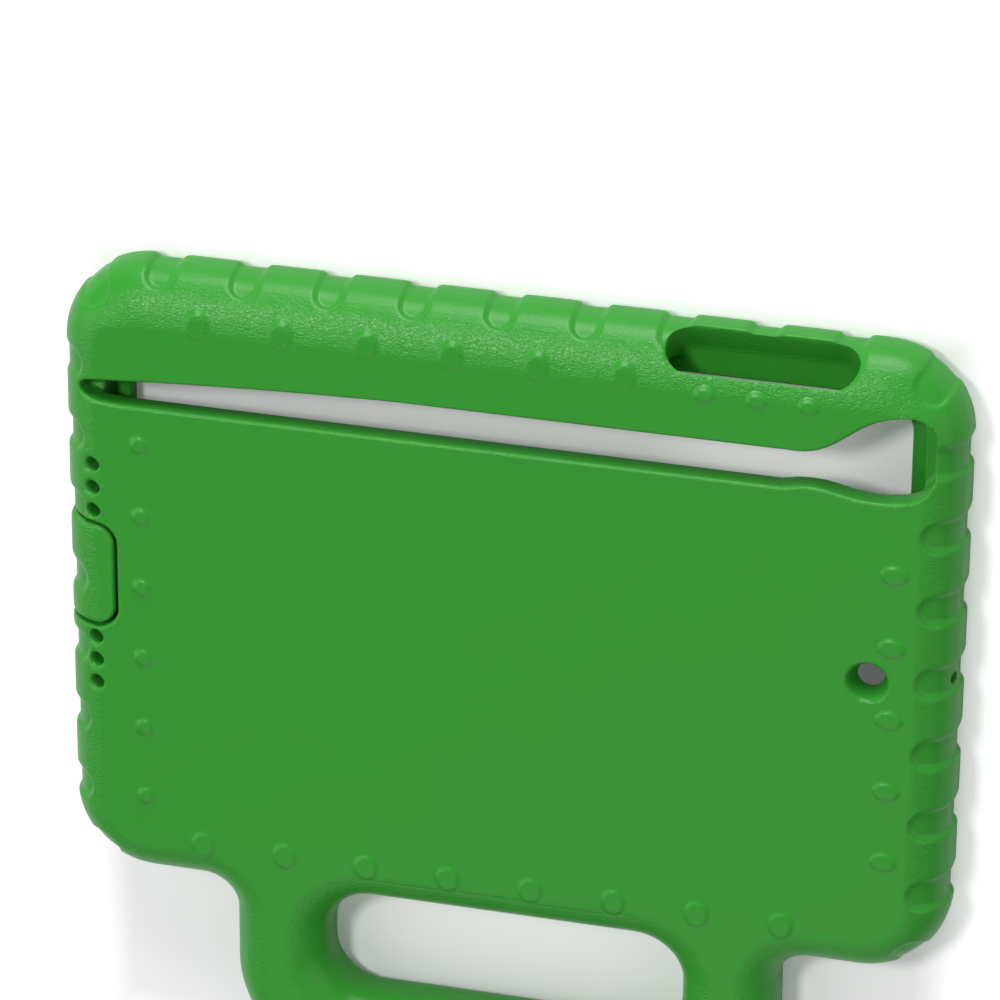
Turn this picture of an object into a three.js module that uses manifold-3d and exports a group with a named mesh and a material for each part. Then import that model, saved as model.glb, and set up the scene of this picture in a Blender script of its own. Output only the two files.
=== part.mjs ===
// Moulded foam tablet case with a carrying handle and a hinged port flap.
// It lies on its front: the screen window faces down, the back panel faces up.
import * as THREE from 'three';
import { mergeVertices } from 'three/addons/utils/BufferGeometryUtils.js';
import Module from 'manifold-3d';

const wasm = await Module();
wasm.setup();

// Device pocket
const pocketLength = 200.6;
const pocketWidth = 144;
const pocketDepth = 7.6;
const pocketCorner = 11;

// Foam around the pocket
const wall = 10.2;
const backPanel = 6;
const frontLip = 5.4;
const lipOverlap = 4.5;
const backRoll = 11;
const topRoll = 16;
const frontRoll = 5;

// Pads and the scooped grooves between them
const shortPitch = 19.2;
const leftShift = -1.2;
const rightShift = -0.1;
const longPitch = 20.85;
const longShift = -2.1;
const shortGroove = 7.4;
const longGroove = 6.8;
const cornerGroove = 8.4;
const grooveDepth = 1;
const shallowDepth = 0.6;
const cornerTurn = 0.85;

// Raised nubs
const nubHeight = 0.4;
const buttonPitch = 12.4;
const nubShift = -0.8;

// Rear slot and the camera window it runs into
const slotInset = 24.5;
const slotWidth = 9.4;
const slotNarrow = 5.7;
const slotDip = 1.1;
const windowWidth = 20.8;

// Volume cut-out through the top roll
const volumeLength = 46;
const volumeWidth = 11.2;
const volumeCentre = 61.2;
const volumeTilt = Math.PI / 6;

// Holes
const speakerHole = 3.6;
const speakerPitch = 6.2;
const speakerFirst = 17.2;
const rearMicTop = 9.6;
const rearMicBottom = 6.2;
const endMicHole = 3;
const micShift = -1;
const portShift = 1.1;

// Carrying handle
const gapLength = 90;
const gapDepth = 28;
const handleBar = 24;
const handleCorner = 30;
const rootFillet = 8;

// Port flap
const flapWidth = 27;
const flapReach = 3.5;
const flapCorner = 5;
const flapGap = 0.8;
const hingeGap = 0.3;
const hingeHeight = 2;

// Derived sizes
const thickness = frontLip + pocketDepth + backPanel;
const halfLength = pocketLength / 2 + wall;
const halfWidth = pocketWidth / 2 + wall;
const corner = pocketCorner + wall;
const rollCentre = thickness - backRoll;
const pocketTop = frontLip + pocketDepth;
const handleHalf = gapLength / 2 + handleBar;
const handleEnd = halfWidth + gapDepth + handleBar;

function toSolid(geometry) {
  const bare = geometry.clone();
  bare.deleteAttribute('normal');
  bare.deleteAttribute('uv');
  const merged = mergeVertices(bare, 1e-4);
  return new wasm.Manifold(new wasm.Mesh({
    numProp: 3,
    vertProperties: new Float32Array(merged.attributes.position.array),
    triVerts: new Uint32Array(merged.index.array),
  }));
}

function toGeometry(solid) {
  const mesh = solid.getMesh();
  const geometry = new THREE.BufferGeometry();
  geometry.setAttribute('position', new THREE.BufferAttribute(mesh.vertProperties, 3));
  geometry.setIndex(new THREE.BufferAttribute(mesh.triVerts, 1));
  const flat = geometry.toNonIndexed();
  flat.computeVertexNormals();
  return flat;
}

function roundedRect(path, x0, y0, x1, y1, radius) {
  path.moveTo(x0 + radius, y0);
  path.lineTo(x1 - radius, y0);
  path.absarc(x1 - radius, y0 + radius, radius, -Math.PI / 2, 0, false);
  path.lineTo(x1, y1 - radius);
  path.absarc(x1 - radius, y1 - radius, radius, 0, Math.PI / 2, false);
  path.lineTo(x0 + radius, y1);
  path.absarc(x0 + radius, y1 - radius, radius, Math.PI / 2, Math.PI, false);
  path.lineTo(x0, y0 + radius);
  path.absarc(x0 + radius, y0 + radius, radius, Math.PI, Math.PI * 1.5, false);
  return path;
}

function prism(shape, z0, z1, segments) {
  const options = { depth: z1 - z0, bevelEnabled: false, curveSegments: segments };
  return new THREE.ExtrudeGeometry(shape, options).translate(0, 0, z0);
}

function rolledSlab(shape, radius, steps, z0, z1) {
  return new THREE.ExtrudeGeometry(shape, {
    depth: z1 - z0 - 2 * radius,
    curveSegments: 8,
    bevelEnabled: true,
    bevelThickness: radius,
    bevelSize: radius,
    bevelOffset: -radius,
    bevelSegments: steps,
  }).translate(0, 0, z0 + radius);
}

// Outline of the body and the handle loop in one line
function outerShape() {
  const shape = new THREE.Shape();
  const quarter = Math.PI / 2;
  shape.moveTo(handleHalf + rootFillet, -halfWidth);
  shape.lineTo(halfLength - corner, -halfWidth);
  shape.absarc(halfLength - corner, corner - halfWidth, corner, -quarter, 0, false);
  shape.lineTo(halfLength, halfWidth - corner);
  shape.absarc(halfLength - corner, halfWidth - corner, corner, 0, quarter, false);
  shape.lineTo(corner - halfLength, halfWidth);
  shape.absarc(corner - halfLength, halfWidth - corner, corner, quarter, 2 * quarter, false);
  shape.lineTo(-halfLength, corner - halfWidth);
  shape.absarc(corner - halfLength, corner - halfWidth, corner, 2 * quarter, 3 * quarter, false);
  shape.lineTo(-handleHalf - rootFillet, -halfWidth);
  shape.absarc(-handleHalf - rootFillet, -halfWidth - rootFillet, rootFillet, quarter, 0, true);
  shape.lineTo(-handleHalf, handleCorner - handleEnd);
  shape.absarc(handleCorner - handleHalf, handleCorner - handleEnd, handleCorner,
    2 * quarter, 3 * quarter, false);
  shape.lineTo(handleHalf - handleCorner, -handleEnd);
  shape.absarc(handleHalf - handleCorner, handleCorner - handleEnd, handleCorner,
    -quarter, 0, false);
  shape.lineTo(handleHalf, -halfWidth - rootFillet);
  shape.absarc(handleHalf + rootFillet, -halfWidth - rootFillet, rootFillet,
    2 * quarter, quarter, true);
  const gap = new THREE.Path();
  const gapRadius = Math.min(gapDepth, gapLength) * 0.42;
  roundedRect(gap, -gapLength / 2, -halfWidth - gapDepth, gapLength / 2, -halfWidth, gapRadius);
  shape.holes.push(gap);
  return shape;
}

// The slot narrows to the left and opens into the camera window on the right
function slotShape() {
  const low = pocketWidth / 2 - slotInset;
  const high = low + slotWidth;
  const left = -pocketLength / 2 - 4.5;
  const right = pocketLength / 2 + 3.7;
  const top = low + windowWidth;
  const tip = low + slotNarrow * 0.6;
  const shape = new THREE.Shape();
  shape.moveTo(left + 12, low);
  shape.lineTo(right - 36.6, low);
  shape.bezierCurveTo(right - 26, low + 2.7, right - 24, low - slotDip, right - 14, low - slotDip);
  shape.bezierCurveTo(right - 6, low - slotDip, right, low + 1, right, low + 8.5);
  shape.lineTo(right, top - 6);
  shape.absarc(right - 6, top - 6, 6, 0, Math.PI / 2, false);
  shape.bezierCurveTo(right - 19.5, top, right - 22, high, right - 33, high);
  shape.lineTo(-pocketLength / 8, high);
  shape.quadraticCurveTo(-pocketLength / 3, high - 1, left + 5, low + slotNarrow);
  shape.quadraticCurveTo(left, low + slotNarrow, left, tip);
  shape.quadraticCurveTo(left, low, left + 12, low);
  return shape;
}

// One groove cutter: wraps the edge from the front and ends in a round scoop on the roll
function grooveCutter(endAngle, roll, width, depth) {
  const outside = 2;
  const shape = new THREE.Shape();
  shape.moveTo(-depth, -1);
  shape.lineTo(-depth, rollCentre);
  shape.absellipse(-roll, rollCentre, roll - depth, backRoll - depth, 0, endAngle, false, 0);
  shape.absellipse(-roll, rollCentre, roll + outside, backRoll + outside, endAngle, 0, true, 0);
  shape.lineTo(outside, -1);
  const strip = prism(shape, -width / 2, width / 2, 4).rotateX(Math.PI / 2);
  const lean = Math.atan2(roll * Math.sin(endAngle), backRoll * Math.cos(endAngle));
  const endX = roll * (Math.cos(endAngle) - 1);
  const endZ = rollCentre + backRoll * Math.sin(endAngle);
  const scoop = new THREE.CylinderGeometry(width / 2, width / 2, outside + depth, 12)
    .translate(0, (outside - depth) / 2, 0)
    .rotateZ(lean - Math.PI / 2)
    .rotateX(Math.PI / 2)
    .translate(endX, 0, endZ);
  return toSolid(strip).add(toSolid(scoop));
}

function placed(solid, x, y, angle) {
  return solid.rotate([0, 0, THREE.MathUtils.radToDeg(angle)]).translate([x, y, 0]);
}

function grooves() {
  const quarter = Math.PI / 2;
  const leftCutter = grooveCutter(0.78, backRoll, shortGroove, grooveDepth);
  const shallowCutter = grooveCutter(0.78, backRoll, shortGroove, shallowDepth);
  const rightCutter = grooveCutter(1.05, backRoll, shortGroove, grooveDepth);
  const topCutter = grooveCutter(0.48, topRoll, longGroove, grooveDepth);
  const handleCutter = grooveCutter(0.6, backRoll, longGroove, grooveDepth);
  const cornerCutter = grooveCutter(0.62, backRoll, cornerGroove, shallowDepth);
  const cutters = [];
  const rows = Math.floor((halfWidth - corner + 2) / shortPitch);
  for (let k = -rows; k <= rows; k += 1) {
    const y = k * shortPitch;
    const left = k === rows ? shallowCutter : leftCutter;
    cutters.push(placed(rightCutter, halfLength, y + rightShift, 0));
    cutters.push(placed(left, -halfLength, y + leftShift, 2 * quarter));
  }
  const columns = Math.floor((halfLength - corner) / longPitch);
  for (let k = -columns; k <= columns; k += 1) {
    const x = longShift + k * longPitch;
    cutters.push(placed(topCutter, x, halfWidth, quarter));
    if (Math.abs(x) < handleHalf - handleCorner + 2) {
      cutters.push(placed(handleCutter, x, -handleEnd, -quarter));
    }
  }
  for (const across of [-1, 1]) {
    for (const along of [-1, 1]) {
      const angle = Math.atan2(along * Math.sin(cornerTurn), across * Math.cos(cornerTurn));
      const x = across * (halfLength - corner) + corner * Math.cos(angle);
      const y = along * (halfWidth - corner) + corner * Math.sin(angle);
      cutters.push(placed(cornerCutter, x, y, angle));
    }
  }
  return cutters;
}

function nub(x, y, radiusX, radiusY) {
  const root = 3;
  const disc = new THREE.CylinderGeometry(0.86, 1, root + nubHeight, 12)
    .rotateX(Math.PI / 2)
    .scale(radiusX, radiusY, 1)
    .translate(x, y, thickness + (nubHeight - root) / 2);
  return toSolid(disc);
}

function nubs() {
  const found = [];
  const lowY = halfWidth - backRoll - 1;
  for (let k = -3; k <= 4; k += 1) {
    const x = longShift + (k - 0.5) * longPitch;
    if (Math.abs(x - volumeCentre) > volumeLength / 2) {
      found.push(nub(x, lowY + 0.6, 2.8, 3.4));
    }
    found.push(nub(x, -lowY, 2.9, 3.4));
  }
  for (const k of [-1, 0, 1]) {
    found.push(nub(volumeCentre + k * buttonPitch, lowY - 1.4, 2.4, 1.9));
  }
  for (let k = -3; k <= 2; k += 1) {
    found.push(nub(20.8 - halfLength, nubShift + k * shortPitch, 2.1, 2.1));
    if (k > -3) {
      found.push(nub(halfLength - 15.2, nubShift + (k - 0.5) * shortPitch, 3.2, 2.4));
    }
  }
  return found;
}

function volumeCut() {
  const half = volumeLength / 2;
  const radius = volumeWidth / 2;
  const shape = roundedRect(new THREE.Shape(), -half, -radius, half, radius, radius - 0.01);
  // Centre of the cut, a little above the middle of the top wall
  const middleY = halfWidth - 4.25;
  const middleZ = thickness - 5.35;
  const cut = prism(shape, -30, 14, 6)
    .rotateX(volumeTilt - Math.PI / 2)
    .translate(volumeCentre, middleY, middleZ);
  return toSolid(cut)
    .trimByPlane([0, 0, 1], frontLip)
    .trimByPlane([0, 1, 0], pocketWidth / 2 - 4);
}

function holes() {
  const drills = [];
  const drill = new THREE.CylinderGeometry(speakerHole / 2, speakerHole / 2, 12, 12)
    .rotateX(Math.PI / 2)
    .rotateY(-0.42)
    .translate(-halfLength + 9.6, portShift, pocketTop + 3);
  for (const side of [-1, 1]) {
    for (let k = 0; k < 3; k += 1) {
      const y = side * (speakerFirst + k * speakerPitch);
      drills.push(toSolid(drill.clone().translate(0, y, 0)));
    }
  }
  const rearMic = new THREE.CylinderGeometry(rearMicTop / 2, rearMicBottom / 2, backPanel, 20)
    .rotateX(Math.PI / 2)
    .translate(pocketLength / 2 - 10.5, micShift, thickness - backPanel / 2);
  drills.push(toSolid(rearMic));
  const endMic = new THREE.CylinderGeometry(endMicHole / 2, endMicHole / 2, wall + 6, 12)
    .rotateZ(Math.PI / 2)
    .translate(halfLength - wall / 2, micShift, pocketTop - 2.2);
  drills.push(toSolid(endMic));
  return drills;
}

function flapBlock(grow, z0) {
  const shape = new THREE.Shape();
  const inner = flapReach - pocketLength / 2 + grow;
  const half = flapWidth / 2 + grow;
  roundedRect(shape, -halfLength - 9, portShift - half, inner, portShift + half,
    flapCorner + grow);
  return toSolid(prism(shape, z0, thickness + 2, 5));
}

// What the softer roll of the top edge leaves away, everything outside an ellipse
function topRollCut() {
  const start = halfWidth - topRoll;
  const shape = new THREE.Shape();
  shape.moveTo(halfWidth + 2, rollCentre);
  shape.lineTo(halfWidth + 2, thickness + 2);
  shape.lineTo(start, thickness + 2);
  shape.lineTo(start, thickness);
  shape.absellipse(start, rollCentre, topRoll, backRoll, Math.PI / 2, 0, true, 0);
  const cut = prism(shape, -halfLength - 1, halfLength + 1, 9);
  return toSolid(cut.rotateX(Math.PI / 2).rotateZ(Math.PI / 2));
}

const outline = outerShape();
const upper = toSolid(rolledSlab(outline, backRoll, 5, thickness - 2 * backRoll - 8, thickness))
  .trimByPlane([0, 0, 1], rollCentre)
  .subtract(topRollCut());
const lower = toSolid(rolledSlab(outline, frontRoll, 3, 0, thickness + 2 * frontRoll))
  .trimByPlane([0, 0, -1], -rollCentre);

const pocketX = pocketLength / 2;
const pocketY = pocketWidth / 2;
const pocketOutline = roundedRect(new THREE.Shape(), -pocketX, -pocketY, pocketX, pocketY,
  pocketCorner);
const screenX = pocketX - lipOverlap;
const screenY = pocketY - lipOverlap;
const screenOutline = roundedRect(new THREE.Shape(), -screenX, -screenY, screenX, screenY,
  pocketCorner - lipOverlap / 2);

let body = wasm.Manifold.union([upper, lower, ...nubs()]);
body = wasm.Manifold.difference([
  body,
  ...grooves(),
  toSolid(prism(pocketOutline, frontLip, pocketTop, 6)),
  toSolid(prism(screenOutline, -1, frontLip + 1, 6)),
  toSolid(prism(slotShape(), pocketTop - 1, thickness + 1, 8)),
  volumeCut(),
  ...holes(),
]);

const shellSolid = body.subtract(flapBlock(flapGap, hingeHeight));
const flapSolid = body.intersect(flapBlock(0, hingeHeight + hingeGap));

const foam = new THREE.MeshStandardMaterial({ color: 0x3a9535, roughness: 0.62, metalness: 0 });
const flapFoam = new THREE.MeshStandardMaterial({ color: 0x388f33, roughness: 0.62, metalness: 0 });

const shell = new THREE.Mesh(toGeometry(shellSolid), foam);
shell.name = 'foam_shell';
const flap = new THREE.Mesh(toGeometry(flapSolid), flapFoam);
flap.name = 'port_flap';

const group = new THREE.Group();
group.name = 'tablet_case';
group.add(shell, flap);
// Origin under the middle of the whole outline, handle included
group.position.y = (handleEnd - halfWidth) / 2;

export default group;
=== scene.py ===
import math

import bmesh
import bpy
import numpy as np
from mathutils import Matrix, Vector


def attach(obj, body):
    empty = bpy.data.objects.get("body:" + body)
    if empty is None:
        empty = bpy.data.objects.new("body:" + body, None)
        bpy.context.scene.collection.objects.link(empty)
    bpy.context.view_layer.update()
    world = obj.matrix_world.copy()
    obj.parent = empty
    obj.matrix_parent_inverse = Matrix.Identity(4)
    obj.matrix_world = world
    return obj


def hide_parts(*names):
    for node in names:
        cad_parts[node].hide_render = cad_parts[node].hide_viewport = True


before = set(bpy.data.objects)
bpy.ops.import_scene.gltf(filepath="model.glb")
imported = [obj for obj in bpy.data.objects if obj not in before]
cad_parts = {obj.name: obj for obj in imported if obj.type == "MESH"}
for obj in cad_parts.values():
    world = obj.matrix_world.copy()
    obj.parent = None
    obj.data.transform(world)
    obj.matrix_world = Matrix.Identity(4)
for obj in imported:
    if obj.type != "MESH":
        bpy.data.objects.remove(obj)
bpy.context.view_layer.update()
print("frame loaded")

mm = 0.001

case = {  # millimetres, measured from the middle of the device pocket
    "halfLength": 110.5,
    "halfWidth": 82.2,
    "corner": 21.2,
    "thickness": 19.0,
    "backRoll": 11.0,
    "topRoll": 16.0,  # the roll of the top edge reaches further in than the others
    "frontRoll": 5.0,
    "shiftY": 26.0,  # the pocket's middle stands this far from the origin
    "pocket": (200.6, 144.0),
    "pocketCorner": 11.0,
    "pocketFloor": 5.4,
    "pocketTop": 13.0,
    "lipOverlap": 4.5,
    "lipRound": 1.6,
}

handle = {"gap": (90.0, 28.0), "gapCorner": 11.76, "bar": 24.0, "corner": 30.0, "root": 8.0}


def smoothStep(low, high, value):
    t = np.clip((value - low) / (high - low), 0, 1)
    return t * t * (3 - 2 * t)


def rollWidth(y, ny):
    # how far in the roll reaches at a point of the outline; the corners blend the two widths
    share = smoothStep(0.45, 1.0, ny) * (np.asarray(y) > 0)
    return case["backRoll"] + (case["topRoll"] - case["backRoll"]) * share


def arcPoints(cx, cy, radius, start, end, side=1, step=3.0):
    # points of an arc with the outward normal of the foam at each
    count = max(2, round(abs(end - start) / step))
    found = []
    for i in range(count + 1):
        a = math.radians(start + (end - start) * i / count)
        nx, ny = math.cos(a), math.sin(a)
        found.append((cx + radius * nx, cy + radius * ny, side * nx, side * ny))
    return found


def rectPoints(x0, y0, x1, y1, radius, side=1):
    found = arcPoints(x1 - radius, y0 + radius, radius, -90, 0, side)
    found += arcPoints(x1 - radius, y1 - radius, radius, 0, 90, side)
    found += arcPoints(x0 + radius, y1 - radius, radius, 90, 180, side)
    found += arcPoints(x0 + radius, y0 + radius, radius, 180, 270, side)
    return found


def outerPoints():
    length, width, corner = case["halfLength"], case["halfWidth"], case["corner"]
    half = handle["gap"][0] / 2 + handle["bar"]
    end = width + handle["gap"][1] + handle["bar"]
    bend, root = handle["corner"], handle["root"]
    found = arcPoints(length - corner, corner - width, corner, -90, 0)
    found += arcPoints(length - corner, width - corner, corner, 0, 90)
    found += arcPoints(corner - length, width - corner, corner, 90, 180)
    found += arcPoints(corner - length, corner - width, corner, 180, 270)
    found += arcPoints(-half - root, -width - root, root, 90, 0, -1)
    found += arcPoints(bend - half, bend - end, bend, 180, 270)
    found += arcPoints(half - bend, bend - end, bend, 270, 360)
    found += arcPoints(half + root, -width - root, root, 180, 90, -1)
    return found


def newPiece(name, bm):
    bmesh.ops.remove_doubles(bm, verts=bm.verts, dist=1e-7)
    bmesh.ops.recalc_face_normals(bm, faces=bm.faces)
    mesh = bpy.data.meshes.new(name)
    bm.to_mesh(mesh)
    bm.free()
    piece = bpy.data.objects.new(name, mesh)
    bpy.context.scene.collection.objects.link(piece)
    return piece


def loftInto(bm, outlines, profile, place=Matrix.Identity(4)):
    # a closed solid: the outlines are extruded through the (inset, height) steps, where a
    # third number is a share of the roll's width that is added to the inset
    tag = bm.verts.layers.int.get("place") or bm.verts.layers.int.new("place")
    points = [p for outline in outlines for p in outline]
    verts, edges = [], []
    for outline in outlines:
        ring = []
        for x, y, nx, ny in outline:
            vert = bm.verts.new((x, y, 0))
            vert[tag] = len(verts)
            verts.append(vert)
            ring.append(vert)
        edges += [bm.edges.new((ring[i - 1], ring[i])) for i in range(len(ring))]

    def move(rim, step):
        height = step[1]
        for vert in rim:
            x, y, nx, ny = points[vert[tag]]
            inset = step[0] + (step[2] * rollWidth(y, ny) if len(step) > 2 else 0)
            vert.co = place @ (Vector((x - inset * nx, y - inset * ny, height)) * mm)

    rim = verts
    move(rim, profile[0])
    bmesh.ops.triangle_fill(bm, use_beauty=True, edges=edges)
    for step in profile[1:]:
        made = bmesh.ops.extrude_edge_only(bm, edges=edges)["geom"]
        rim = [g for g in made if isinstance(g, bmesh.types.BMVert)]
        edges = [g for g in made if isinstance(g, bmesh.types.BMEdge)]
        edges = [e for e in edges if not any(v not in rim for v in e.verts)]
        move(rim, step)
    bmesh.ops.triangle_fill(bm, use_beauty=True, edges=edges)


def applyModifiers(piece):
    graph = bpy.context.evaluated_depsgraph_get()
    mesh = bpy.data.meshes.new_from_object(piece.evaluated_get(graph))
    old = piece.data
    piece.modifiers.clear()
    piece.data = mesh
    bpy.data.meshes.remove(old)


def carve(piece, cutters, operation):
    for cutter in cutters:
        mod = piece.modifiers.new("cut", "BOOLEAN")
        mod.operation = operation
        mod.solver = "EXACT"
        mod.object = cutter
    applyModifiers(piece)


def roundedProfile():
    # from the flat of the back, round the roll and the front edge, to the front
    back, front = case["backRoll"], case["frontRoll"]
    steps = []
    for i in range(15):
        a = math.radians(90 - i * 90 / 14)
        height = case["thickness"] - back * (1 - math.sin(a))
        steps.append((0, height, 1 - math.cos(a)))
    for i in range(9):
        a = math.radians(i * 90 / 8)
        steps.append((front * (1 - math.cos(a)), front * (1 - math.sin(a))))
    return steps


# the rolled slab of the body with the loop, and its finger gap
gapX, gapY = handle["gap"]
gap = rectPoints(-gapX / 2, -case["halfWidth"] - gapY, gapX / 2, -case["halfWidth"],
                 handle["gapCorner"], -1)
bm = bmesh.new()
loftInto(bm, [outerPoints(), gap], roundedProfile())
shell = newPiece("foamShell", bm)
print("slab", len(shell.data.polygons))

slot = {  # the rear slot and the camera window it opens into
    "low": 47.5,
    "height": 9.4,
    "narrow": 5.7,
    "dip": 1.1,
    "left": -104.8,
    "right": 104.0,
    "top": 68.3,
    "dipStart": 36.6,  # these four are measured in from the right end
    "rise": 33.0,
    "windowFoot": 14.0,
    "windowCorner": 6.0,
    "tipLength": (5.0, 12.0),  # the round left end, along the upper and the lower edge
    "straightTo": -25.0,  # the upper edge starts to bend down here
    "rimRound": 0.9,
}


def bezierPoints(p0, p1, p2, p3, count=16):
    found = []
    for i in range(1, count):
        t = i / count
        s = 1 - t
        k = (s ** 3, 3 * s * s * t, 3 * s * t * t, t ** 3)
        x = sum(a * p[0] for a, p in zip(k, (p0, p1, p2, p3)))
        y = sum(a * p[1] for a, p in zip(k, (p0, p1, p2, p3)))
        d = (3 * s * s, 6 * s * t, 3 * t * t)
        dx = sum(a * (q[0] - p[0]) for a, p, q in zip(d, (p0, p1, p2), (p1, p2, p3)))
        dy = sum(a * (q[1] - p[1]) for a, p, q in zip(d, (p0, p1, p2), (p1, p2, p3)))
        size = math.hypot(dx, dy)
        found.append((x, y, dy / size, -dx / size))
    return found


def bendPoints(p0, control, p1, count=12):
    # a curve with one control point
    near, far = ([a + (c - a) * 2 / 3 for a, c in zip(p, control)] for p in (p0, p1))
    return bezierPoints(p0, near, far, p1, count)


def slotPoints():
    low, right, left, top = slot["low"], slot["right"], slot["left"], slot["top"]
    high, dip, narrow = low + slot["height"], low - slot["dip"], low + slot["narrow"]
    tip = low + slot["narrow"] * 0.6
    start, foot, rise = (right - slot[k] for k in ("dipStart", "windowFoot", "rise"))
    corner, bend = slot["windowCorner"], slot["straightTo"]
    upper, lower = (left + reach for reach in slot["tipLength"])
    found = [(lower, low, 0, -1), (start, low, 0, -1)]
    found += bezierPoints((start, low), (right - 26, low + 2.7), (right - 24, dip), (foot, dip))
    found += [(foot, dip, 0, -1)]
    found += bezierPoints((foot, dip), (right - 6, dip), (right, low + 1), (right, low + 8.5))
    found += [(right, low + 8.5, 1, 0)]
    found += arcPoints(right - corner, top - corner, corner, 0, 90)
    found += bezierPoints((right - corner, top), (right - 19.5, top), (right - 22, high),
                          (rise, high))
    found += [(rise, high, 0, 1), (bend, high, 0, 1)]
    found += bendPoints((bend, high), (-66.9, high - 1), (upper, narrow))
    found += [(upper, narrow, -0.05, 1)]
    found += bendPoints((upper, narrow), (left, narrow), (left, tip), 8)
    found += [(left, tip, -1, 0)]
    found += bendPoints((left, tip), (left, low), (lower, low))
    return found


volume = {"centre": 61.2, "length": 46.0, "width": 11.2, "tilt": 30.0, "y": 77.95, "z": 13.65}

drills = {"speaker": 3.6, "first": 17.2, "pitch": 6.2, "lean": 24.0, "inset": 9.6,
          "portShift": 1.1,  # the port and its speakers stand this far above the middle
          "rearMic": (9.6, 6.2), "rearMicInset": 10.5, "endMic": 3.0, "endMicDrop": 2.2,
          "micShift": -1.0}


def openingsInto(bm):
    # slot with a softened back rim, speaker holes and the two microphone holes
    rim = slot["rimRound"]
    steps = [(-rim * (1 - math.cos(math.radians(a))) - 0.02,
              case["thickness"] - rim + rim * math.sin(math.radians(a))) for a in (60, 30, 0)]
    top = [(-rim - 0.3, case["thickness"] + 2)]
    loftInto(bm, [slotPoints()], top + steps + [(0, case["pocketTop"] - 1)])
    for side in (-1, 1):
        for k in range(3):
            y = drills["portShift"] + side * (drills["first"] + k * drills["pitch"])
            turn = Matrix.Rotation(math.radians(-drills["lean"]), 4, "Y")
            x = drills["inset"] - case["halfLength"]
            place = Matrix.Translation(Vector((x, y, 16)) * mm) @ turn
            radius = drills["speaker"] / 2
            hole = arcPoints(0, 0, radius, 0, 350, 1, 10)
            loftInto(bm, [hole], [(-0.5, 6), (-0.5, 3.4), (0, 2.4), (0, -6)], place)
    wide, narrow = drills["rearMic"]
    low = drills["micShift"]
    hole = arcPoints(case["pocket"][0] / 2 - drills["rearMicInset"], low, narrow / 2, 0, 350,
                     1, 10)
    flare = (wide - narrow) / 2
    top, foot = case["thickness"], case["pocketTop"]
    loftInto(bm, [hole], [(-flare - 1.5, top + 1), (-flare - 0.6, top), (-flare, top - 0.7),
                          (0, foot), (0, foot - 1)])
    turn = Matrix.Rotation(math.radians(90), 4, "Y")
    place = Vector((case["halfLength"], low, case["pocketTop"] - drills["endMicDrop"]))
    hole = arcPoints(0, 0, drills["endMic"] / 2, 0, 350, 1, 10)
    loftInto(bm, [hole], [(0, 4), (0, -14)], Matrix.Translation(place * mm) @ turn)


def volumeCutter():
    # a stadium driven through the top roll, tilted up towards the back
    half, radius = volume["length"] / 2, volume["width"] / 2
    stadium = arcPoints(half - radius, 0, radius, -90, 90) + arcPoints(radius - half, 0, radius,
                                                                      90, 270)
    bm = bmesh.new()
    tilt = Matrix.Rotation(math.radians(volume["tilt"] - 90), 4, "X")
    centre = Vector((volume["centre"], volume["y"], volume["z"])) * mm
    loftInto(bm, [stadium], [(0, 16), (0, -30)], Matrix.Translation(centre) @ tilt)
    for point, normal in (((0, 0, case["pocketFloor"]), (0, 0, -1)),
                          ((0, case["pocket"][1] / 2 - 4, 0), (0, -1, 0))):
        geom = bm.verts[:] + bm.edges[:] + bm.faces[:]
        cut = bmesh.ops.bisect_plane(bm, geom=geom, plane_co=Vector(point) * mm,
                                     plane_no=normal, clear_outer=True)["geom_cut"]
        edges = [g for g in cut if isinstance(g, bmesh.types.BMEdge)]
        bmesh.ops.triangle_fill(bm, use_beauty=True, edges=edges)
    return newPiece("volumeCutter", bm)


pocketX, pocketY = case["pocket"][0] / 2, case["pocket"][1] / 2
bm = bmesh.new()
loftInto(bm, [rectPoints(-pocketX, -pocketY, pocketX, pocketY, case["pocketCorner"])],
         [(0, case["pocketFloor"]), (0, case["pocketTop"])])
pocketCutter = newPiece("pocketCutter", bm)

screenX, screenY = pocketX - case["lipOverlap"], pocketY - case["lipOverlap"]
soft = case["lipRound"]
steps = [(-soft - 0.4, -1.0)]
steps += [(-soft * (1 - math.sin(math.radians(a))), soft * (1 - math.cos(math.radians(a))))
          for a in (5, 25, 45, 65, 90)]
bm = bmesh.new()
loftInto(bm, [rectPoints(-screenX, -screenY, screenX, screenY, case["pocketCorner"] - 2.25)],
         steps + [(0, case["pocketFloor"] + 1)])
screenCutter = newPiece("screenCutter", bm)

bm = bmesh.new()
openingsInto(bm)
openingCutter = newPiece("openingCutter", bm)
volumeTool = volumeCutter()
carve(shell, [pocketCutter, screenCutter, openingCutter, volumeTool], "DIFFERENCE")
print("openings cut", len(shell.data.polygons))

flapPiece = {"width": 27.0, "reach": 3.5, "corner": 5.0, "gap": 0.8, "foot": 2.0, "hinge": 0.3}


def flapBlock(name, grow, foot):
    inner = flapPiece["reach"] - pocketX + grow
    half = flapPiece["width"] / 2 + grow
    middle = drills["portShift"]
    bm = bmesh.new()
    loftInto(bm, [rectPoints(-case["halfLength"] - 9, middle - half, inner, middle + half,
                             flapPiece["corner"] + grow)],
             [(0, foot), (0, case["thickness"] + 3)])
    return newPiece(name, bm)


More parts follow.
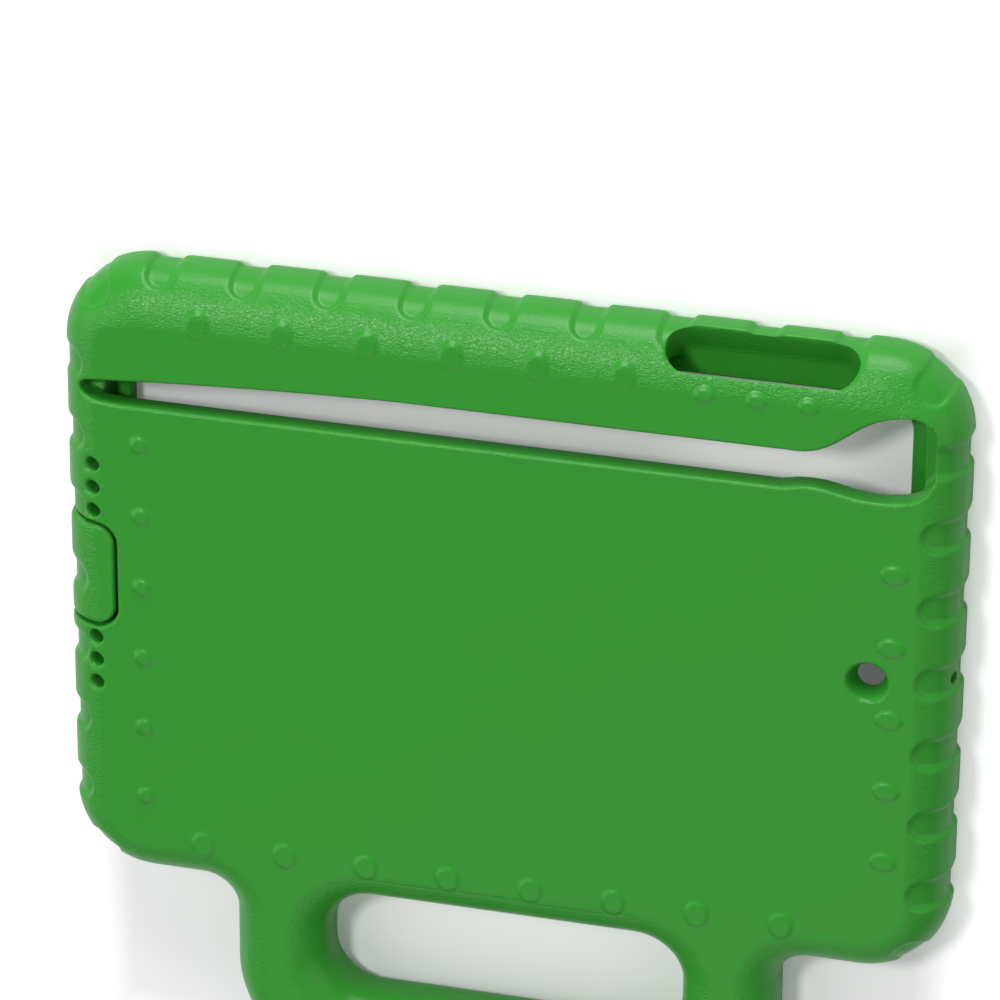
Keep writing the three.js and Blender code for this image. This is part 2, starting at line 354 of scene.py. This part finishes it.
flap = bpy.data.objects.new("portFlap", shell.data.copy())
bpy.context.scene.collection.objects.link(flap)
foot = flapPiece["foot"]
seatCutter = flapBlock("seatCutter", flapPiece["gap"], foot)
flapCutter = flapBlock("flapCutter", 0, foot + flapPiece["hinge"])
carve(flap, [flapCutter], "INTERSECT")
carve(shell, [seatCutter], "DIFFERENCE")
for tool in (pocketCutter, screenCutter, openingCutter, volumeTool, seatCutter, flapCutter):
    bpy.data.objects.remove(tool)
print("flap split off", len(flap.data.polygons))

grooves = {
    "wall": 1.0,  # how far each wall of a groove slopes
    "depth": 1.0,
    "shallow": 0.6,
    "shortPitch": 19.2,
    "leftShift": -1.2,
    "rightShift": -0.1,
    "longPitch": 20.85,
    "longShift": -2.1,
    "left": (7.4, 8.6),  # width, and how far up the roll the middle of its end lies
    "right": (7.4, 11.6),
    "top": (6.8, 6.0),
    "handle": (6.8, 6.6),
    "corner": (8.4, 6.8),
    "cornerTurn": 0.85,  # radians from the long axis
}

nubs = {"height": 0.55, "topY": 70.8, "lowY": 70.2, "buttonY": 68.9, "buttonPitch": 12.4,
        "top": (2.8, 3.4), "low": (2.9, 3.4), "button": (2.4, 1.9), "left": (2.1, 2.1),
        "right": (3.2, 2.4), "shift": -0.8, "leftInset": 20.8, "rightInset": 15.2,
        "edge": (0.84, 1.08),  # where a nub's wall starts and ends, in shares of its radius
        "tongueEdge": (0.8, 1.14), "tongueRise": 0.16, "tongueBow": 0.01}


def skinPlace(inset, z, roll):
    # how far along the edge's section a point lies, how far it is off the skin, and the
    # outward direction there; 0 is where the roll starts, towards the back is positive
    back, front = case["backRoll"], case["frontRoll"]
    mid = case["thickness"] - back
    onRoll, onFront = z >= mid, z < front
    wide, tall = np.where(onRoll, roll, front), np.where(onRoll, back, front)
    u = np.maximum(wide - inset, 0) / wide
    v = (z - np.where(onRoll, mid, front)) / tall
    size = np.maximum(np.hypot(u, v), 1e-6)
    turn = np.arctan2(v, u)
    straight = ~onRoll & ~onFront
    reach = np.where(onRoll, back + 0.3 * (roll - back), front)
    along = np.where(straight, z - mid, np.where(onRoll, 0, front - mid) + reach * turn)
    off = np.where(straight, -inset,
                   (size - 1) * np.hypot(wide * np.cos(turn), tall * np.sin(turn)))
    outward, upward = np.cos(turn) / wide, np.sin(turn) / tall
    length = np.hypot(outward, upward)
    return (along, off, np.where(straight, 1.0, outward / length),
            np.where(straight, 0.0, upward / length))


def groovePlaces():
    # every groove as (corner centre or None, point on the wall or that centre, outward
    # direction, kind, depth)
    length, width, corner = case["halfLength"], case["halfWidth"], case["corner"]
    half = handle["gap"][0] / 2 + handle["bar"]
    end = width + handle["gap"][1] + handle["bar"]
    deep, shallow = grooves["depth"], grooves["shallow"]
    found = []
    for k in range(-3, 4):
        y = k * grooves["shortPitch"]
        found.append((None, (length, y + grooves["rightShift"]), (1, 0), "right", deep))
        found.append((None, (-length, y + grooves["leftShift"]), (-1, 0), "left",
                      shallow if k == 3 else deep))
    for k in range(-4, 5):
        x = grooves["longShift"] + k * grooves["longPitch"]
        found.append((None, (x, width), (0, 1), "top", deep))
        if abs(x) < half - handle["corner"] + 2:
            found.append((None, (x, -end), (0, -1), "handle", deep))
    for sx in (-1, 1):
        for sy in (-1, 1):
            normal = (sx * math.cos(grooves["cornerTurn"]), sy * math.sin(grooves["cornerTurn"]))
            centre = (sx * (length - corner), sy * (width - corner))
            found.append((centre, centre, normal, "corner", shallow))
    return found


def pressGrooves(co):
    count = len(co)
    shift = np.zeros_like(co)
    depth = np.zeros(count)
    wall = grooves["wall"]
    for centre, point, normal, kind, deep in groovePlaces():
        width, end = grooves[kind]
        wide = width / 2
        n = np.array(normal)
        rel = co[:, :2] - np.array(point)
        side = rel @ np.array([-n[1], n[0]])
        if centre is None:
            inset = -(rel @ n)
            way = np.broadcast_to(n, (count, 2))
        else:
            away = np.hypot(rel[:, 0], rel[:, 1])
            inset = np.where(rel @ n > 0, case["corner"] - away, 99)
            way = rel / np.maximum(away, 1e-6)[:, None]
        near = np.flatnonzero((np.abs(side) < wide + wall) & (inset < 18) & (inset > -1))
        roll = rollWidth(co[near, 1], way[near, 1])
        along, off, outward, upward = skinPlace(inset[near], co[near, 2], roll)
        # the end of a groove is round: past its middle the distance is to that point
        distance = np.hypot(side[near], np.maximum(along - end, 0))
        mask = 1 - smoothStep(wide - wall * 0.5, wide + wall * 0.5, distance)
        mask *= smoothStep(-9.5, -5.5, along) * (np.abs(off) < 0.5)
        press = deep * mask
        more = press > depth[near]
        rows = near[more]
        depth[rows] = press[more]
        shift[rows, :2] = -way[rows] * (press * outward)[more][:, None]
        shift[rows, 2] = -(press * upward)[more]
    co += shift
    return depth


def nubPlaces():
    found = []
    for k in range(-3, 5):
        x = grooves["longShift"] + (k - 0.5) * grooves["longPitch"]
        if abs(x - volume["centre"]) > volume["length"] / 2:
            found.append((x, nubs["topY"], "top"))
        found.append((x, -nubs["lowY"], "low"))
    for k in (-1, 0, 1):
        found.append((volume["centre"] + k * nubs["buttonPitch"], nubs["buttonY"], "button"))
    for k in range(-3, 3):
        y = nubs["shift"] + k * grooves["shortPitch"]
        found.append((nubs["leftInset"] - case["halfLength"], y, "left"))
        if k > -3:
            found.append((case["halfLength"] - nubs["rightInset"],
                          y - grooves["shortPitch"] / 2, "right"))
    return found


def raiseNubs(co):
    top = co[:, 2] > case["thickness"] - 4
    for x, y, kind in nubPlaces():
        rx, ry = nubs[kind]
        near = np.flatnonzero(top & (np.abs(co[:, 0] - x) < rx * 1.3)
                              & (np.abs(co[:, 1] - y) < ry * 1.3))
        distance = np.hypot((co[near, 0] - x) / rx, (co[near, 1] - y) / ry)
        if kind == "top":
            # a flat tongue that runs out of the panel over the roll, bowed down a little
            mask = 1 - smoothStep(*nubs["tongueEdge"], distance)
            bow = nubs["tongueBow"] * np.maximum(co[near, 1] - y + ry, 0) ** 2
            level = case["thickness"] + nubs["tongueRise"] - bow
            co[near, 2] += mask * np.maximum(level - co[near, 2], 0)
        else:
            co[near, 2] += (1 - smoothStep(*nubs["edge"], distance)) * nubs["height"]


def softenVolumeRim(piece, co):
    # marks the foam round the volume cut-out's rim and rounds it off
    rel = co - np.array([volume["centre"], volume["y"], volume["z"]])
    tilt = math.radians(volume["tilt"])
    radius = volume["width"] / 2
    across = rel[:, 2] * math.cos(tilt) - rel[:, 1] * math.sin(tilt)
    beyond = np.maximum(np.abs(rel[:, 0]) - volume["length"] / 2 + radius, 0)
    wallway = np.abs(np.hypot(beyond, across) - radius)
    off = skinPlace(case["halfWidth"] - co[:, 1], co[:, 2], case["topRoll"])[1]
    weight = (1 - smoothStep(1.0, 3.0, wallway)) * (1 - smoothStep(1.0, 3.0, np.abs(off)))
    rim = piece.vertex_groups.new(name="volumeRim")
    for i in np.flatnonzero((weight > 0.02) & (co[:, 1] > 70)):
        rim.add([int(i)], float(weight[i]), "REPLACE")
    mod = piece.modifiers.new("roundVolume", "SMOOTH")
    mod.factor = 0.5
    mod.iterations = surface["rimSmooth"]
    mod.vertex_group = "volumeRim"


def sculpt(piece):
    # presses the grooves into the skin and raises the nubs, vertex by vertex
    count = len(piece.data.vertices)
    co = np.empty(count * 3)
    piece.data.vertices.foreach_get("co", co)
    co = co.reshape(-1, 3) / mm
    softenVolumeRim(piece, co)
    depth = pressGrooves(co)
    raiseNubs(co)
    co[:, 1] += case["shiftY"]
    piece.data.vertices.foreach_set("co", (co * mm).ravel())
    piece.data.attributes.new("groove", "FLOAT", "POINT").data.foreach_set("value", depth)
    piece.data.update()


grainSpread = {
    "comesIn": (2.0, 9.0),  # degrees that the skin leans over
    "fades": (28.0, 46.0),
    "steepLoss": 0.7,
    "groove": (0.1, 0.5),  # millimetres pressed in
    "grooveLoss": 0.8,
    "nubReach": 1.3,
    "nubShare": 0.15,
}


def markGrain(piece):
    # the leathery grain shows on the rolls and in the dishes of the corners; flat faces,
    # nubs and the other groove floors are smooth
    count = len(piece.data.vertices)
    co, normal, depth = np.empty(count * 3), np.empty(count * 3), np.empty(count)
    piece.data.vertices.foreach_get("co", co)
    piece.data.vertices.foreach_get("normal", normal)
    piece.data.attributes["groove"].data.foreach_get("value", depth)
    co = co.reshape(-1, 3) / mm
    co[:, 1] -= case["shiftY"]
    tilt = np.degrees(np.arccos(np.clip(np.abs(normal.reshape(-1, 3)[:, 2]), 0, 1)))
    spread = grainSpread
    grain = smoothStep(*spread["comesIn"], tilt)
    grain *= 1 - spread["steepLoss"] * smoothStep(*spread["fades"], tilt)
    inner = case["halfLength"] - case["corner"], case["halfWidth"] - case["corner"]
    dish = (np.abs(co[:, 0]) > inner[0]) & (np.abs(co[:, 1]) > inner[1])
    grain *= 1 - spread["grooveLoss"] * smoothStep(*spread["groove"], depth) * ~dish
    for x, y, kind in nubPlaces():
        if kind != "top":
            rx, ry = nubs[kind]
            distance = np.hypot((co[:, 0] - x) / rx, (co[:, 1] - y) / ry)
            grain[distance < spread["nubReach"]] *= spread["nubShare"]
    piece.data.attributes.new("grain", "FLOAT", "POINT").data.foreach_set("value", grain)


surface = {"voxel": 0.48, "smooth": 4, "rimSmooth": 16, "shellFaces": 185000,
           "flapFaces": 16000}


def finishPiece(piece, faces):
    # an even skin of small faces, soft rims, then the moulded grooves and nubs
    mod = piece.modifiers.new("skin", "REMESH")
    mod.mode = "VOXEL"
    mod.voxel_size = surface["voxel"] * mm
    applyModifiers(piece)
    print(piece.name, "skin", len(piece.data.polygons))
    sculpt(piece)
    mod = piece.modifiers.new("soften", "SMOOTH")
    mod.factor = 0.5
    mod.iterations = surface["smooth"]
    mod = piece.modifiers.new("thin", "DECIMATE")
    mod.ratio = min(1.0, faces / (2 * len(piece.data.polygons)))
    applyModifiers(piece)
    piece.data.polygons.foreach_set("use_smooth", [True] * len(piece.data.polygons))
    piece.data.update()
    markGrain(piece)
    print(piece.name, "done", len(piece.data.polygons))


finishPiece(shell, surface["shellFaces"])
finishPiece(flap, surface["flapFaces"])


def linear(hexColour):
    # sRGB hex to the linear colour that a shader takes
    parts = [int(hexColour[i:i + 2], 16) / 255 for i in (1, 3, 5)]
    return tuple(p / 12.92 if p <= 0.04045 else ((p + 0.055) / 1.055) ** 2.4
                 for p in parts) + (1.0,)


def addNode(tree, kind, settings=None, links=None):
    node = tree.nodes.new(kind)
    for key, value in (settings or {}).items():
        if key in node.inputs:
            node.inputs[key].default_value = value
        else:
            setattr(node, key, value)
    for key, socket in (links or {}).items():
        tree.links.new(socket, node.inputs[key])
    return node


foam = {  # closed-cell EVA foam with a fine leathery skin off the mould, satin and even
    "colour": "#35952F",
    "deep": "#30902C",
    "roughness": 0.3,
    "specular": 0.27,
    "grain": (0.95, 0.55),  # millimetres along and across a wrinkle of the skin
    "grainTwist": 0.7,
    "grainHeight": 0.2,
    "fine": 0.3,
    "fineHeight": 0.006,
    "cloud": 28.0,  # millimetres across a patch of the slightly lighter tone
}


def foamMaterial():
    made = bpy.data.materials.new("moulded EVA foam")
    made.use_nodes = True
    tree = made.node_tree
    tree.nodes.clear()
    place = addNode(tree, "ShaderNodeTexCoord").outputs["Object"]
    cloud = addNode(tree, "ShaderNodeTexNoise", {"Scale": 1 / (foam["cloud"] * mm), "Detail": 3.0},
                    {"Vector": place})
    tone = addNode(tree, "ShaderNodeMix", {"data_type": "RGBA"})
    tone.inputs[6].default_value = linear(foam["deep"])
    tone.inputs[7].default_value = linear(foam["colour"])
    tree.links.new(cloud.outputs["Fac"], tone.inputs[0])
    along, across = foam["grain"]
    stretch = addNode(tree, "ShaderNodeMapping",
                      {"Scale": (1 / (along * mm), 1 / (across * mm), 1 / (across * mm))},
                      {"Vector": place})
    wrinkle = addNode(tree, "ShaderNodeTexNoise",
                      {"Scale": 1.0, "Detail": 1.0, "Distortion": foam["grainTwist"]},
                      {"Vector": stretch.outputs["Vector"]})
    where = addNode(tree, "ShaderNodeAttribute", {"attribute_name": "grain"})
    height = addNode(tree, "ShaderNodeMath", {"operation": "MULTIPLY"})
    tree.links.new(wrinkle.outputs["Fac"], height.inputs[0])
    tree.links.new(where.outputs["Fac"], height.inputs[1])
    fine = addNode(tree, "ShaderNodeTexNoise", {"Scale": 1 / (foam["fine"] * mm), "Detail": 1.0},
                   {"Vector": place})
    under = addNode(tree, "ShaderNodeBump", {"Strength": 1.0, "Distance": foam["fineHeight"] * mm},
                    {"Height": fine.outputs["Fac"]})
    bump = addNode(tree, "ShaderNodeBump", {"Strength": 1.0, "Distance": foam["grainHeight"] * mm},
                   {"Height": height.outputs["Value"], "Normal": under.outputs["Normal"]})
    shader = addNode(tree, "ShaderNodeBsdfPrincipled",
                     {"Roughness": foam["roughness"], "IOR": 1.5,
                      "Specular IOR Level": foam["specular"]},
                     {"Base Color": tone.outputs[2], "Normal": bump.outputs["Normal"]})
    addNode(tree, "ShaderNodeOutputMaterial", None, {"Surface": shader.outputs["BSDF"]})
    return made


evaFoam = foamMaterial()
for piece in (shell, flap):
    piece.data.materials.clear()
    piece.data.materials.append(evaFoam)
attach(shell, "shell")
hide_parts("foam_shell")
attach(flap, "flap")
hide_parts("port_flap")
for name in ("foam_shell", "port_flap"):
    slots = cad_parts[name].data.materials
    slots.clear()
    slots.append(evaFoam)
print("materials set")

view = {  # the photograph's camera, fitted to its straight edges and holes
    "azimuth": 14.7,
    "elevation": 26.3,
    "roll": 0.49,
    "lens": 216.0,
    "distance": 1445.0,
    "aim": (-5.83, 49.82, -3.0),
    "sensor": 36.0,
    "clipEnd": 10,
}


def makeCamera():
    az, el, roll = (math.radians(view[k]) for k in ("azimuth", "elevation", "roll"))
    away = Vector((math.sin(az) * math.cos(el), math.sin(el), math.cos(az) * math.cos(el)))
    right = Vector((0, 1, 0)).cross(away).normalized()
    up = away.cross(right)
    turnedRight = right * math.cos(roll) + up * math.sin(roll)
    turnedUp = up * math.cos(roll) - right * math.sin(roll)
    data = bpy.data.cameras.new("camera")
    data.lens = view["lens"]
    data.sensor_width = view["sensor"]
    data.clip_end = view["clipEnd"]
    camera = bpy.data.objects.new("camera", data)
    bpy.context.scene.collection.objects.link(camera)
    turn = Matrix((turnedRight, turnedUp, away)).transposed()
    spot = (Vector(view["aim"]) + away * view["distance"]) * mm
    camera.matrix_world = Matrix.Translation(spot) @ turn.to_4x4()
    bpy.context.scene.camera = camera


lamps = {  # name: place, size in metres, watts; each one aims at the middle of the case
    "back": ((0.0, 1.773, 0.313), 1.3, 30.0),
    "left": ((-1.474, 0.0, 1.032), 1.6, 11.5),
    "right": ((1.474, 0.0, 1.032), 1.6, 6.5),
    "front": ((0.0, -1.379, 1.157), 1.6, 6.5),
    "key": ((-0.46, 0.8, 1.545), 0.36, 12.8),
}


def makeLamp(name, place, size, power):
    data = bpy.data.lights.new(name, "AREA")
    data.shape = "DISK"
    data.size = size
    data.energy = power
    lamp = bpy.data.objects.new(name, data)
    bpy.context.scene.collection.objects.link(lamp)
    lamp.location = place
    lamp.rotation_euler = (Vector((0, 0, 0)) - Vector(place)).to_track_quat("-Z", "Y").to_euler()


backdrop = {  # metres; a glow is added to the floor for camera and transmission rays only; it is kept low under the case, which paints shade there, and grows outward to a white floor
    "halfSize": 6,
    "drop": 0.0002,
    "paper": 0.85,
    "nearEdge": (0.1, 0.112),
    # the low glow under the case is painted shade on the floor beneath it
    "shadeUnderCaseGlow": (0.1, 0.38),
    "farEdge": (0.13, 0.7),
    "farGlow": (0.0, 0.62),
    "worldLight": 0.1,
    "worldSeen": 1.0,
}


def glowRamp(tree, distance, edge, glow):
    return addNode(tree, "ShaderNodeMapRange",
                   {"From Min": edge[0], "From Max": edge[1], "To Min": glow[0],
                    "To Max": glow[1]}, {"Value": distance})


def makeFloor():
    bm = bmesh.new()
    bmesh.ops.create_grid(bm, x_segments=2, y_segments=2, size=backdrop["halfSize"])
    bmesh.ops.translate(bm, verts=bm.verts, vec=(0, 0, -backdrop["drop"]))
    floor = newPiece("floor", bm)
    paint = bpy.data.materials.new("white paper floor")
    paint.use_nodes = True
    tree = paint.node_tree
    tree.nodes.clear()
    ray = addNode(tree, "ShaderNodeLightPath").outputs
    seen = addNode(tree, "ShaderNodeMath", {"operation": "MAXIMUM"})
    tree.links.new(ray["Is Camera Ray"], seen.inputs[0])
    tree.links.new(ray["Is Transmission Ray"], seen.inputs[1])
    paper = backdrop["paper"]
    matte = addNode(tree, "ShaderNodeBsdfDiffuse", {"Color": (paper, paper, paper, 1)})
    # painted shade: the glow stays low below the case, so the floor seen through its openings
    # reads dark; more round it, where its real shadow stays; white further out
    place = addNode(tree, "ShaderNodeTexCoord").outputs["Object"]
    reach = addNode(tree, "ShaderNodeVectorMath", {"operation": "ABSOLUTE"})
    tree.links.new(place, reach.inputs[0])
    sides = addNode(tree, "ShaderNodeSeparateXYZ", None, {"Vector": reach.outputs["Vector"]})
    square = addNode(tree, "ShaderNodeMath", {"operation": "MAXIMUM"})
    tree.links.new(sides.outputs["X"], square.inputs[0])
    tree.links.new(sides.outputs["Y"], square.inputs[1])
    distance = square.outputs["Value"]
    near = glowRamp(tree, distance, backdrop["nearEdge"], backdrop["shadeUnderCaseGlow"])
    far = glowRamp(tree, distance, backdrop["farEdge"], backdrop["farGlow"])
    glow = addNode(tree, "ShaderNodeMath", {"operation": "ADD"})
    tree.links.new(near.outputs[0], glow.inputs[0])
    tree.links.new(far.outputs[0], glow.inputs[1])
    bright = addNode(tree, "ShaderNodeEmission", {"Color": (1, 1, 1, 1)},
                     {"Strength": glow.outputs[0]})
    both = addNode(tree, "ShaderNodeAddShader")
    tree.links.new(matte.outputs[0], both.inputs[0])
    tree.links.new(bright.outputs[0], both.inputs[1])
    mix = addNode(tree, "ShaderNodeMixShader", None, {"Fac": seen.outputs[0]})
    tree.links.new(matte.outputs[0], mix.inputs[1])
    tree.links.new(both.outputs[0], mix.inputs[2])
    addNode(tree, "ShaderNodeOutputMaterial", None, {"Surface": mix.outputs[0]})
    floor.data.materials.append(paint)


def makeWorld():
    world = bpy.data.worlds.new("studio")
    world.use_nodes = True
    tree = world.node_tree
    tree.nodes.clear()
    ray = addNode(tree, "ShaderNodeLightPath").outputs
    soft, white = (addNode(tree, "ShaderNodeBackground",
                           {"Color": (1, 1, 1, 1), "Strength": backdrop[level]})
                   for level in ("worldLight", "worldSeen"))
    mix = addNode(tree, "ShaderNodeMixShader", None, {"Fac": ray["Is Camera Ray"]})
    tree.links.new(soft.outputs[0], mix.inputs[1])
    tree.links.new(white.outputs[0], mix.inputs[2])
    addNode(tree, "ShaderNodeOutputWorld", None, {"Surface": mix.outputs[0]})
    bpy.context.scene.world = world


makeCamera()
for name, (place, size, power) in lamps.items():
    makeLamp(name, place, size, power)
makeFloor()
makeWorld()
bpy.context.scene.view_settings.view_transform = "Standard"
print("camera, lamps and floor set")
